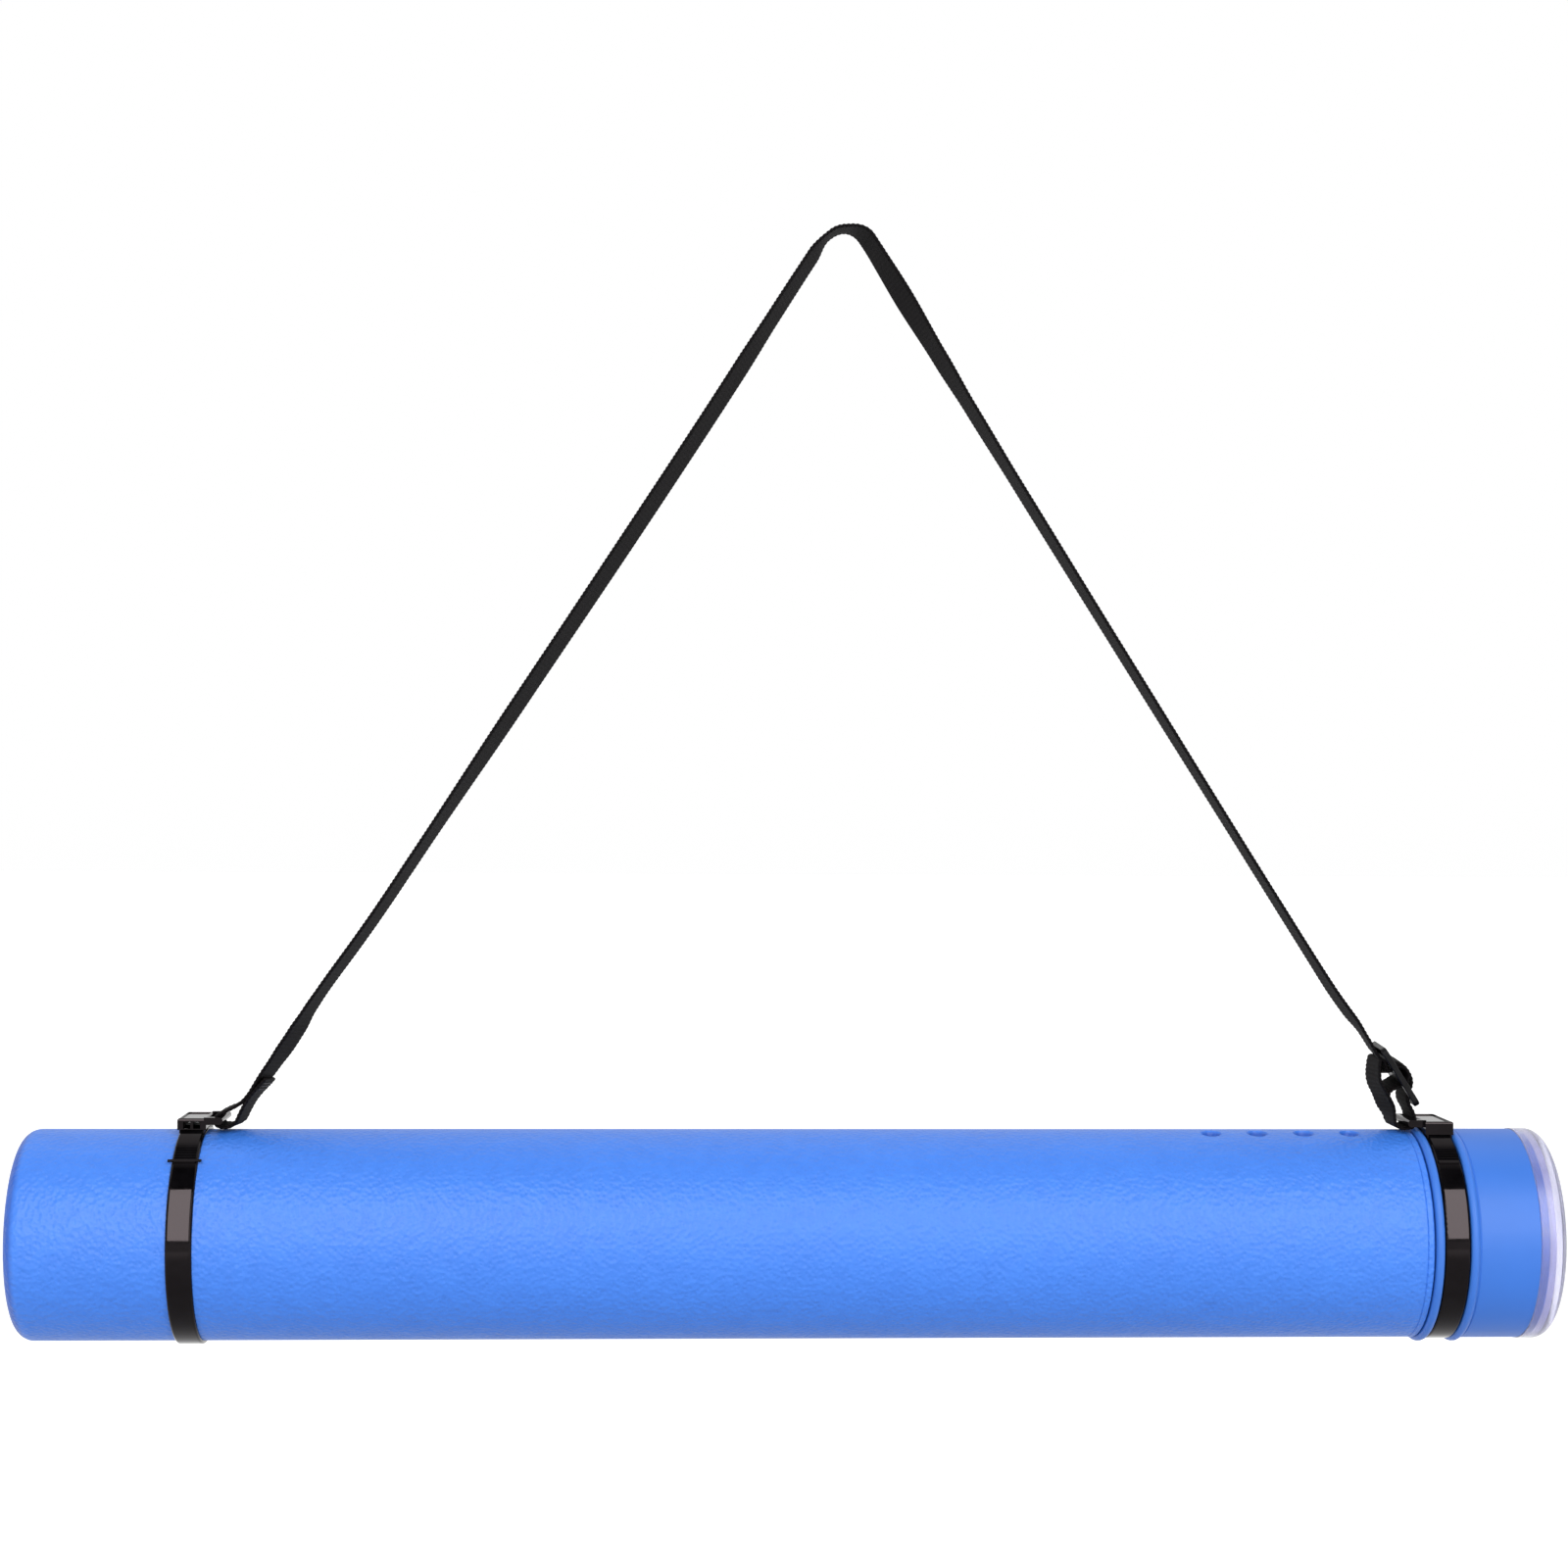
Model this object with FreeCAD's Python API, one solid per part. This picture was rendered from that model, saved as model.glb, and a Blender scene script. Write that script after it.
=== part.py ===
"""Telescopic drawing tube with a carrying strap.

The model is drawn in the tube's own frame: x runs along the tube from the outer face of its closed end,
y points away from the front, and z is up from the tube's axis. Every node is then moved so that the
origin is the point where the strap hangs. Units are millimetres.
"""

import FreeCAD
import Part

import math
import os

V = FreeCAD.Vector
X_AXIS = V(1, 0, 0)
Y_AXIS = V(0, 1, 0)
Z_AXIS = V(0, 0, 1)

# ---- driving dimensions ----------------------------------------------------------------------------

# where the tube lies below the point that the strap hangs from
HANG_X = 352.0
HANG_Z = 437.0

# outer tube
OUTER_R = 45.0
OUTER_WALL = 1.6
OUTER_LENGTH = 601.0
END_CORNER_R = 7.0
END_RECESS_R = 29.0
END_RECESS_DEPTH = 2.5
LIP_WIDTH = 2.4
LIP_GROOVE = 0.35

# guide dimples in the outer tube, which run in the inner tube's groove
DIMPLE_COUNT = 4
DIMPLE_FIRST_X = 512.5
DIMPLE_PITCH = 20.3
DIMPLE_R = 4.75
DIMPLE_FLOOR_R = 3.2
DIMPLE_DEPTH = 2.0
NUB_R = 5.5
NUB_TIP_Z = 41.7
KEY_ANGLE = 9.2

# inner tube and its head
INNER_R = 42.9
INNER_BORE_R = 41.5
INNER_START_X = 14.0
GROOVE_START_X = 56.5
GROOVE_END_X = 594.0
GROOVE_HALF_WIDTH = 6.4
GROOVE_FLOOR_Z = 41.0
GROOVE_SKIN = 1.4
HEAD_X = 601.6
HEAD_R = 45.25
BEAD_WIDTH = 3.6
BEAD_R = 46.7
SEAT_R = 44.1
SEAT_WIDTH = 11.4
HEAD_END_X = 646.6
NECK_R = 43.9
NECK_END_X = 650.8

# guide ring on the inner tube's hidden end
RING_X = 16.0
RING_WIDTH = 6.0
RING_SEAT_R = 42.3
RING_R = 43.1

# lid
LID_R = 45.5
LID_WALL = 1.3
LID_GAP = 0.1
LID_END_X = 658.8
LID_CORNER_R = 5.5
LID_PLUG_R = 41.1
LID_PLUG_WALL = 1.4
LID_PLUG_START_X = 648.4
LID_PLUG_ROOT = 2.8
LID_DISH_R = 30.0
LID_DISH_DEPTH = 1.2

# bands
BAND_WIDTH = 11.0
BAND_THICKNESS = 1.4
BAND_EDGE_R = 1.1
BAND_GAP = 0.05
LEFT_BAND_X = 73.45
RIGHT_BAND_X = HEAD_X + BEAD_WIDTH + SEAT_WIDTH / 2
TAIL_WIDTH = 9.0
TAIL_THICKNESS = 1.0
TAIL_BACK_ANGLE = 24.0
TAIL_FRONT_ANGLE = 41.5
TOOTH_HEIGHT = 0.25
TOOTH_ANGLE = 1.8
EAR_REACH = 2.6
EAR_LENGTH = 1.2
EAR_THICKNESS = 0.5

# buckles, measured from the band's outer face and from the band's middle
BUCKLE_WIDTH = 12.2
LEFT_BUCKLE_DEPTH = 25.0
RIGHT_BUCKLE_DEPTH = 30.0
BUCKLE_HEIGHT = 4.8
BUCKLE_SEAT_GAP = 0.05
BUCKLE_RIM = 1.2
BUCKLE_RIM_DEPTH = 0.5
TAIL_TUNNEL_HALF = 4.8
TAIL_TUNNEL_HEIGHT = 1.6
BEAD_RELIEF_HALF = 5.3
BEAD_RELIEF_HEIGHT = 1.5
POCKET_HALF_WIDTH = 3.4
POCKET_HALF_DEPTH = 9.4
POCKET_TOP = 3.5
WINDOW_WIDTH = 3.0
WINDOW_GAP = 1.2
WINDOW_LOW = 1.8
WINDOW_HIGH = 3.3
EYE_REACH = 5.4
EYE_BAR_R = 1.6
EYE_BAR_HEIGHT = 3.6
EYE_ARM_INNER = 10.5
EYE_ARM_THICKNESS = 2.0

# catch in each buckle
PIN_R = 0.6
PIN_HALF_LENGTH = 5.2
PIN_Y = 5.5
PIN_HEIGHT = 2.05
PAWL_HOLE_R = 0.66
PAWL_HALF_WIDTH = 3.0
PAWL_EYE_R = 1.15
PAWL_THICKNESS = 0.9
PAWL_NOSE_Y = -8.6
SPRING_THICKNESS = 0.2
SPRING_HALF_WIDTH = 2.0
SPRING_BACK_Y = 8.6
SPRING_BEND_Y = 2.0
SPRING_TIP_Y = -7.2

# webbing
WEB_WIDTH = 20.0
WEB_THICKNESS = 1.4
LEFT_EYE_TOP_Z = 51.75
LEFT_KNEE = (95.0, 57.0)
LEFT_LOW_BEND = (123.9, 101.1)
LEFT_HIGH_BEND_Z = 134.0
LEFT_LOOP_Z = 46.9
LEFT_FOLD_BENDS = ((91.6, 46.9), (94.9, 54.0), (99.0, 60.4), (104.8, 67.0))
RIGHT_BEND_Z = 99.5
RIGHT_LOOP_TOP_Z = 52.6
RIGHT_JOIN = 1.7
RIGHT_FOLD_BENDS = ((594.5, 46.65), (592.9, 52.5), (588.9, 61.0), (584.2, 67.0), (584.0, 72.0))
EYE_WRAP = 2.5
ARC_SHARE = 0.45

# straight legs of the strap: x = slope * z + start
LEFT_LEG_SLOPE = 0.6525
LEFT_LEG_START = 60.5
RIGHT_LEG_SLOPE = -0.6321
RIGHT_LEG_START = 633.7

# strap adjuster, in its own frame: a runs down the strap, n out of its face
ADJUSTER_X = 595.1
ADJUSTER_Z = 69.75
ADJUSTER_TILT = 4.0
ADJUSTER_LENGTH = 29.2
ADJUSTER_WIDTH = 27.0
ADJUSTER_THICKNESS = 2.6
ADJUSTER_EDGE_R = 0.6
ADJUSTER_END_BAR = 3.2
ADJUSTER_MIDDLE_BAR = 4.0
ADJUSTER_SLOT_WIDTH = 21.6

STITCH_R = 0.28
STITCH_HALF_LENGTH = 8.0


# ---- helpers ---------------------------------------------------------------------------------------


def turned_shape(edges):
    """A solid turned about the tube's axis from a closed list of profile edges."""
    return Part.Face(Part.Wire(edges)).revolve(V(0, 0, 0), X_AXIS, 360)


def line(p, q):
    return Part.LineSegment(V(p[0], 0, p[1]), V(q[0], 0, q[1])).toShape()


def arc(p, m, q):
    return Part.Arc(V(p[0], 0, p[1]), V(m[0], 0, m[1]), V(q[0], 0, q[1])).toShape()


def tube(x, length, outer, inner):
    """A plain ring about the tube's axis."""
    body = Part.makeCylinder(outer, length, V(x, 0, 0), X_AXIS)
    return body.cut(Part.makeCylinder(inner, length, V(x, 0, 0), X_AXIS))


def box(x0, x1, y0, y1, z0, z1):
    return Part.makeBox(x1 - x0, y1 - y0, z1 - z0, V(x0, y0, z0))


def on_ring(radius, angle):
    """The (y, z) of a point on a circle about the axis, at an angle from the top towards the front."""
    a = math.radians(angle)
    return -radius * math.sin(a), radius * math.cos(a)


def towards_front(shape, angle):
    """Turns a shape made at the top of the tube towards the front."""
    return shape.rotate(V(0, 0, 0), X_AXIS, angle)


def unit(v):
    size = math.hypot(v[0], v[1])
    return v[0] / size, v[1] / size


def corner(before, at, after):
    """The tangent arc at a route's point: its start, end, centre, radius, side and turn."""
    u = unit((at[0] - before[0], at[1] - before[1]))
    w = unit((after[0] - at[0], after[1] - at[1]))
    turn = math.acos(max(-1.0, min(1.0, u[0] * w[0] + u[1] * w[1])))
    run = min(math.dist(before, at), math.dist(at, after))
    radius = ARC_SHARE * run / math.tan(turn / 2)
    back = radius * math.tan(turn / 2)
    start = (at[0] - u[0] * back, at[1] - u[1] * back)
    end = (at[0] + w[0] * back, at[1] + w[1] * back)
    bisector = unit((w[0] - u[0], w[1] - u[1]))
    reach = radius / math.cos(turn / 2)
    centre = (at[0] + bisector[0] * reach, at[1] + bisector[1] * reach)
    side = 1.0 if u[0] * w[1] - u[1] * w[0] > 0 else -1.0
    return start, end, centre, radius, side, turn


def offset_path(route, corners, offset):
    """One side of the ribbon: the route's runs and arcs moved sideways by offset, to its left."""
    ends = [route[0]] + [c for cn in corners for c in (cn[0], cn[1])] + [route[-1]]
    runs = []
    for p, q in zip(ends[::2], ends[1::2]):
        d = unit((q[0] - p[0], q[1] - p[1]))
        move = (-d[1] * offset, d[0] * offset)
        runs.append(((p[0] + move[0], p[1] + move[1]), (q[0] + move[0], q[1] + move[1])))
    edges = [line(*runs[0])]
    for (_, p), (q, after), (_, _, centre, radius, side, _) in zip(runs, runs[1:], corners):
        reach = radius - side * offset
        m = unit(((p[0] + q[0]) / 2 - centre[0], (p[1] + q[1]) / 2 - centre[1]))
        edges.append(arc(p, (centre[0] + m[0] * reach, centre[1] + m[1] * reach), q))
        edges.append(line(q, after))
    return edges, runs[0][0], runs[-1][1]


def ribbon(name, route):
    """Webbing of constant width whose middle line follows the route in the xz plane."""
    corners = [corner(p, q, r) for p, q, r in zip(route, route[1:], route[2:])]
    half = WEB_THICKNESS / 2
    left, left_first, left_last = offset_path(route, corners, half)
    right, right_first, right_last = offset_path(route, corners, -half)
    outline = left + [line(left_last, right_last)] + right + [line(right_first, left_first)]
    face = Part.Face(Part.Wire(Part.__sortEdges__(outline)))
    solid = face.extrude(V(0, WEB_WIDTH, 0))
    solid.translate(V(0, -WEB_WIDTH / 2, 0))
    length = sum(math.dist(p, q) for p, q in zip(route, route[1:]))
    for cn in corners:
        length += cn[3] * cn[5] - 2 * cn[3] * math.tan(cn[5] / 2)
    share = solid.Volume / (WEB_WIDTH * WEB_THICKNESS * length)
    radii = ", ".join(f"{cn[3]:.1f}" for cn in corners)
    print(f"{name}: length {length:.1f}, volume over section times length {share:.4f}, radii {radii}")
    return solid


# ---- tubes and lid ---------------------------------------------------------------------------------


def outer_tube():
    c = END_CORNER_R
    inner_c = c - OUTER_WALL
    bore = OUTER_R - OUTER_WALL
    s = math.sqrt(0.5)
    recess_floor = END_RECESS_DEPTH
    lip = OUTER_LENGTH - LIP_WIDTH
    edges = [
        line((recess_floor, 0), (recess_floor, END_RECESS_R - 2)),
        line((recess_floor, END_RECESS_R - 2), (0, END_RECESS_R)),
        line((0, END_RECESS_R), (0, OUTER_R - c)),
        arc((0, OUTER_R - c), (c - c * s, OUTER_R - c + c * s), (c, OUTER_R)),
        line((c, OUTER_R), (lip - LIP_GROOVE * 2, OUTER_R)),
        line((lip - LIP_GROOVE * 2, OUTER_R), (lip - LIP_GROOVE, OUTER_R - LIP_GROOVE)),
        line((lip - LIP_GROOVE, OUTER_R - LIP_GROOVE), (lip, OUTER_R)),
        line((lip, OUTER_R), (OUTER_LENGTH - 0.6, OUTER_R)),
        arc(
            (OUTER_LENGTH - 0.6, OUTER_R),
            (OUTER_LENGTH - 0.6 + 0.6 * s, OUTER_R - 0.6 + 0.6 * s),
            (OUTER_LENGTH, OUTER_R - 0.6),
        ),
        line((OUTER_LENGTH, OUTER_R - 0.6), (OUTER_LENGTH, bore)),
        line((OUTER_LENGTH, bore), (c, bore)),
        arc(
            (c, bore),
            (c - inner_c * s, OUTER_R - c + inner_c * s),
            (OUTER_WALL, OUTER_R - c),
        ),
        line((OUTER_WALL, OUTER_R - c), (OUTER_WALL, END_RECESS_R + 1)),
        line((OUTER_WALL, END_RECESS_R + 1), (recess_floor + OUTER_WALL, END_RECESS_R - 2)),
        line((recess_floor + OUTER_WALL, END_RECESS_R - 2), (recess_floor + OUTER_WALL, 0)),
        line((recess_floor + OUTER_WALL, 0), (recess_floor, 0)),
    ]
    body = turned_shape(edges)
    nubs = []
    hollows = []
    for i in range(DIMPLE_COUNT):
        x = DIMPLE_FIRST_X + i * DIMPLE_PITCH
        nub = Part.makeCone(NUB_R - 0.8, NUB_R, bore - NUB_TIP_Z + 1.0, V(x, 0, NUB_TIP_Z), Z_AXIS)
        hollow = Part.makeCone(
            DIMPLE_FLOOR_R, DIMPLE_R + 0.5, DIMPLE_DEPTH + 0.8, V(x, 0, OUTER_R - DIMPLE_DEPTH), Z_AXIS
        )
        nubs.append(towards_front(nub, KEY_ANGLE))
        hollows.append(towards_front(hollow, KEY_ANGLE))
    body = body.fuse(nubs)
    for hollow in hollows:
        body = body.cut(hollow)
    return body


def bead(x):
    """The edge over one bead, from its left foot to its right foot."""
    return arc((x, HEAD_R), (x + BEAD_WIDTH / 2, BEAD_R), (x + BEAD_WIDTH, HEAD_R))


def inner_tube():
    seat_start = HEAD_X + BEAD_WIDTH
    seat_end = seat_start + SEAT_WIDTH
    wall_start = seat_end + BEAD_WIDTH
    ring_end = RING_X + RING_WIDTH
    edges = [
        line((INNER_START_X, INNER_BORE_R), (INNER_START_X, INNER_R)),
        line((INNER_START_X, INNER_R), (RING_X, INNER_R)),
        line((RING_X, INNER_R), (RING_X, RING_SEAT_R)),
        line((RING_X, RING_SEAT_R), (ring_end, RING_SEAT_R)),
        line((ring_end, RING_SEAT_R), (ring_end, INNER_R)),
        line((ring_end, INNER_R), (HEAD_X, INNER_R)),
        line((HEAD_X, INNER_R), (HEAD_X, HEAD_R)),
        bead(HEAD_X),
        line((seat_start, HEAD_R), (seat_start, SEAT_R)),
        line((seat_start, SEAT_R), (seat_end, SEAT_R)),
        line((seat_end, SEAT_R), (seat_end, HEAD_R)),
        bead(seat_end),
        line((wall_start, HEAD_R), (wall_start + 0.5, HEAD_R - 0.3)),
        line((wall_start + 0.5, HEAD_R - 0.3), (wall_start + 1.0, HEAD_R)),
        line((wall_start + 1.0, HEAD_R), (HEAD_END_X - 0.15, HEAD_R)),
        line((HEAD_END_X - 0.15, HEAD_R), (HEAD_END_X, HEAD_R - 0.15)),
        line((HEAD_END_X, HEAD_R - 0.15), (HEAD_END_X, NECK_R)),
        line((HEAD_END_X, NECK_R), (NECK_END_X - 0.5, NECK_R)),
        line((NECK_END_X - 0.5, NECK_R), (NECK_END_X, NECK_R - 0.5)),
        line((NECK_END_X, NECK_R - 0.5), (NECK_END_X, INNER_BORE_R)),
        line((NECK_END_X, INNER_BORE_R), (INNER_START_X, INNER_BORE_R)),
    ]
    body = turned_shape(edges)
    half = GROOVE_HALF_WIDTH
    skin = box(
        GROOVE_START_X - GROOVE_SKIN,
        GROOVE_END_X + GROOVE_SKIN,
        -half - GROOVE_SKIN,
        half + GROOVE_SKIN,
        GROOVE_FLOOR_Z - GROOVE_SKIN,
        INNER_R - 0.9,
    )
    groove = box(GROOVE_START_X, GROOVE_END_X, -half, half, GROOVE_FLOOR_Z, INNER_R + 1)
    body = body.fuse(towards_front(skin, KEY_ANGLE))
    return body.cut(towards_front(groove, KEY_ANGLE))


def guide_ring():
    return tube(RING_X + BAND_GAP, RING_WIDTH - 2 * BAND_GAP, RING_R, RING_SEAT_R)


def lid():
    s = math.sqrt(0.5)
    c = LID_CORNER_R
    inner_c = c - LID_WALL
    start = HEAD_END_X + LID_GAP
    bend = LID_END_X - c
    plate = LID_END_X - LID_WALL
    shoulder_r = LID_R - c
    plug_inner = LID_PLUG_R - LID_PLUG_WALL
    dish = LID_END_X - LID_DISH_DEPTH
    ceiling = plate - LID_DISH_DEPTH
    edges = [
        line((start, LID_R - LID_WALL), (start, LID_R - 0.15)),
        line((start, LID_R - 0.15), (start + 0.15, LID_R)),
        line((start + 0.15, LID_R), (bend, LID_R)),
        arc((bend, LID_R), (bend + c * s, shoulder_r + c * s), (LID_END_X, shoulder_r)),
        line((LID_END_X, shoulder_r), (LID_END_X, LID_DISH_R)),
        line((LID_END_X, LID_DISH_R), (dish, LID_DISH_R - LID_DISH_DEPTH)),
        line((dish, LID_DISH_R - LID_DISH_DEPTH), (dish, 0)),
        line((dish, 0), (ceiling, 0)),
        line((ceiling, 0), (ceiling, plug_inner)),
        line((ceiling, plug_inner), (LID_PLUG_START_X, plug_inner)),
        line((LID_PLUG_START_X, plug_inner), (LID_PLUG_START_X, LID_PLUG_R)),
        line((LID_PLUG_START_X, LID_PLUG_R), (bend + LID_PLUG_ROOT, LID_PLUG_R)),
        line((bend + LID_PLUG_ROOT, LID_PLUG_R), (bend, LID_R - LID_WALL)),
        line((bend, LID_R - LID_WALL), (start, LID_R - LID_WALL)),
    ]
    return turned_shape(edges)


# ---- bands, buckles and catches --------------------------------------------------------------------


def band(x, bore_r, with_ears):
    """A band round the tube, with the toothed tail that runs through its buckle and down the front."""
    outer = bore_r + BAND_THICKNESS
    ring = tube(x - BAND_WIDTH / 2, BAND_WIDTH, outer, bore_r)
    rims = [
        e
        for e in ring.Edges
        if isinstance(e.Curve, Part.Circle) and abs(e.Curve.Radius - outer) < 1e-6
    ]
    ring = ring.makeFillet(BAND_EDGE_R, rims)
    inner_points = []
    outer_points = []
    count = int((TAIL_FRONT_ANGLE + TAIL_BACK_ANGLE) / TOOTH_ANGLE)
    step = (TAIL_FRONT_ANGLE + TAIL_BACK_ANGLE) / count
    top = outer + TAIL_THICKNESS
    for i in range(count + 1):
        angle = -TAIL_BACK_ANGLE + i * step
        inner_points.append(on_ring(outer - 0.3, angle))
        outer_points.append(on_ring(top - TOOTH_HEIGHT, angle))
        if 2 < i < count - 1:
            outer_points.append(on_ring(top, angle + step * 0.3))
    outline = inner_points + outer_points[::-1] + inner_points[:1]
    wire = Part.makePolygon([V(x - TAIL_WIDTH / 2, y, z) for y, z in outline])
    tail = Part.Face(wire).extrude(V(TAIL_WIDTH, 0, 0))
    strap = ring.fuse(tail)
    if with_ears:
        reach = TAIL_WIDTH / 2 + EAR_REACH
        ears = box(
            x - reach,
            x + reach,
            -EAR_LENGTH / 2,
            EAR_LENGTH / 2,
            outer + 0.15,
            outer + 0.15 + EAR_THICKNESS,
        )
        strap = strap.fuse(towards_front(ears, TAIL_FRONT_ANGLE - 1.0))
    return strap.removeSplitter()


def buckle(seat_r, depth, with_windows):
    """A buckle over x = 0 with its eye towards +x, seated on a band of that outer radius."""
    half = BUCKLE_WIDTH / 2
    deep = depth / 2
    top = seat_r + BUCKLE_HEIGHT
    body = box(-half, half, -deep, deep, seat_r - 6, top)
    body = body.makeFillet(0.9, [e for e in body.Edges if e.BoundBox.ZMin > top - 0.1])
    recess = box(
        -half + BUCKLE_RIM,
        half - BUCKLE_RIM,
        -deep + BUCKLE_RIM,
        deep - BUCKLE_RIM,
        top - BUCKLE_RIM_DEPTH,
        top + 1,
    )
    body = body.cut(recess)
    bar_x = half + EYE_REACH
    bar_z = seat_r + EYE_BAR_HEIGHT
    for side in (-1, 1):
        y0 = EYE_ARM_INNER if side > 0 else -EYE_ARM_INNER - EYE_ARM_THICKNESS
        arm = box(half - 1, bar_x, y0, y0 + EYE_ARM_THICKNESS, bar_z - EYE_BAR_R, bar_z + EYE_BAR_R)
        end = Part.makeCylinder(EYE_BAR_R, EYE_ARM_THICKNESS, V(bar_x, y0, bar_z), Y_AXIS)
        body = body.fuse(arm).fuse(end)
    bar = Part.makeCylinder(EYE_BAR_R, 2 * EYE_ARM_INNER, V(bar_x, -EYE_ARM_INNER, bar_z), Y_AXIS)
    body = body.fuse(bar)
    under = Part.makeCylinder(seat_r + BUCKLE_SEAT_GAP, 4 * BUCKLE_WIDTH, V(-2 * BUCKLE_WIDTH, 0, 0), X_AXIS)
    body = body.cut(under)
    tunnel = Part.makeCylinder(
        seat_r + TAIL_TUNNEL_HEIGHT, 2 * TAIL_TUNNEL_HALF, V(-TAIL_TUNNEL_HALF, 0, 0), X_AXIS
    )
    body = body.cut(tunnel)
    relief = tube(-BUCKLE_WIDTH, 2 * BUCKLE_WIDTH, seat_r + BEAD_RELIEF_HEIGHT, seat_r - 8)
    relief = relief.cut(box(-BEAD_RELIEF_HALF, BEAD_RELIEF_HALF, -60, 60, 0, 60))
    body = body.cut(relief)
    pocket = box(
        -POCKET_HALF_WIDTH,
        POCKET_HALF_WIDTH,
        -POCKET_HALF_DEPTH,
        POCKET_HALF_DEPTH,
        seat_r - 4,
        seat_r + POCKET_TOP,
    )
    body = body.cut(pocket)
    for side in (-1, 1) if with_windows else ():
        x0 = WINDOW_GAP / 2 if side > 0 else -WINDOW_GAP / 2 - WINDOW_WIDTH
        window = box(
            x0,
            x0 + WINDOW_WIDTH,
            -deep - 1,
            -POCKET_HALF_DEPTH + 1,
            seat_r + WINDOW_LOW - 1.4,
            seat_r + WINDOW_HIGH,
        )
        body = body.cut(window)
    hole = Part.makeCylinder(
        PIN_R, 2 * PIN_HALF_LENGTH, V(-PIN_HALF_LENGTH, PIN_Y, seat_r + PIN_HEIGHT), X_AXIS
    )
    return body.cut(hole)


def pawl(seat_r):
    """The catch: a flat lever that turns on its pin and drops a nose on the tail's teeth."""
    z = seat_r + PIN_HEIGHT
    eye = Part.makeCylinder(PAWL_EYE_R, 2 * PAWL_HALF_WIDTH, V(-PAWL_HALF_WIDTH, PIN_Y, z), X_AXIS)
    low = z - PAWL_THICKNESS / 2
    nose_z = seat_r + TAIL_THICKNESS + 0.12
    profile = [
        (PIN_Y, low),
        (-1.0, low),
        (-2.2, nose_z),
        (-3.4, nose_z + 0.05),
        (-4.2, low),
        (PAWL_NOSE_Y, low),
        (PAWL_NOSE_Y, low + PAWL_THICKNESS),
        (PIN_Y, low + PAWL_THICKNESS),
    ]
    wire = Part.makePolygon([V(-PAWL_HALF_WIDTH, y, h) for y, h in profile + profile[:1]])
    lever = Part.Face(wire).extrude(V(2 * PAWL_HALF_WIDTH, 0, 0))
    hole = Part.makeCylinder(
        PAWL_HOLE_R, 2 * PAWL_HALF_WIDTH + 2, V(-PAWL_HALF_WIDTH - 1, PIN_Y, z), X_AXIS
    )
    return eye.fuse(lever).cut(hole).removeSplitter()


def pawl_pin(seat_r):
    return Part.makeCylinder(
        PIN_R, 2 * PIN_HALF_LENGTH, V(-PIN_HALF_LENGTH, PIN_Y, seat_r + PIN_HEIGHT), X_AXIS
    )


def pawl_spring(seat_r):
    """A leaf spring that lies along the pocket's roof and slopes down to press on the catch's nose."""
    roof = seat_r + POCKET_TOP - 0.02
    contact = seat_r + PIN_HEIGHT + PAWL_THICKNESS / 2 + 0.02
    profile = [
        (SPRING_BACK_Y, roof),
        (SPRING_BEND_Y, roof),
        (SPRING_TIP_Y, contact + SPRING_THICKNESS),
        (SPRING_TIP_Y, contact),
        (SPRING_BEND_Y, roof - SPRING_THICKNESS),
        (SPRING_BACK_Y, roof - SPRING_THICKNESS),
    ]
    wire = Part.makePolygon([V(-SPRING_HALF_WIDTH, y, h) for y, h in profile + profile[:1]])
    return Part.Face(wire).extrude(V(2 * SPRING_HALF_WIDTH, 0, 0))


def placed(shape, x, mirrored):
    """Moves a buckle part onto its band. The right band's parts face the other way."""
    if mirrored:
        shape = shape.mirror(V(0, 0, 0), X_AXIS)
    shape.translate(V(x, 0, 0))
    return shape


# ---- webbing and adjuster --------------------------------------------------------------------------


def leg_point(slope, start, z):
    return slope * z + start, z


def leg_direction():
    """The direction down the right leg, and the direction out of the adjuster's face."""
    down = unit((-RIGHT_LEG_SLOPE, -1.0))
    return down, (-down[1], down[0])


def at_adjuster(a, n):
    down, out = leg_direction()
    return ADJUSTER_X + a * down[0] + n * out[0], ADJUSTER_Z + a * down[1] + n * out[1]


def strap_route():
    left_bar_x = LEFT_BAND_X + BUCKLE_WIDTH / 2 + EYE_REACH
    left_bar_z = OUTER_R + BAND_GAP + BAND_THICKNESS + EYE_BAR_HEIGHT
    right_bar_x = RIGHT_BAND_X - BUCKLE_WIDTH / 2 - EYE_REACH
    right_bar_z = SEAT_R + BAND_GAP + BAND_THICKNESS + EYE_BAR_HEIGHT
    top_z = HANG_Z + WEB_THICKNESS / 2
    return [
        (left_bar_x - EYE_WRAP, left_bar_z),
        (left_bar_x - EYE_WRAP, LEFT_EYE_TOP_Z),
        LEFT_KNEE,
        LEFT_LOW_BEND,
        leg_point(LEFT_LEG_SLOPE, LEFT_LEG_START, LEFT_HIGH_BEND_Z),
        leg_point(LEFT_LEG_SLOPE, LEFT_LEG_START, top_z),
        leg_point(RIGHT_LEG_SLOPE, RIGHT_LEG_START, top_z),
        leg_point(RIGHT_LEG_SLOPE, RIGHT_LEG_START, RIGHT_BEND_Z),
        at_adjuster(-22.0, -2.7),
        at_adjuster(-9.5, -3.4),
        at_adjuster(-4.9, 5.2),
        at_adjuster(6.4, 6.3),
        at_adjuster(9.6, -3.4),
        (right_bar_x + EYE_WRAP, RIGHT_LOOP_TOP_Z),
        (right_bar_x + EYE_WRAP, right_bar_z - EYE_WRAP),
        (right_bar_x - RIGHT_JOIN, right_bar_z - EYE_WRAP),
    ]


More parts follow.
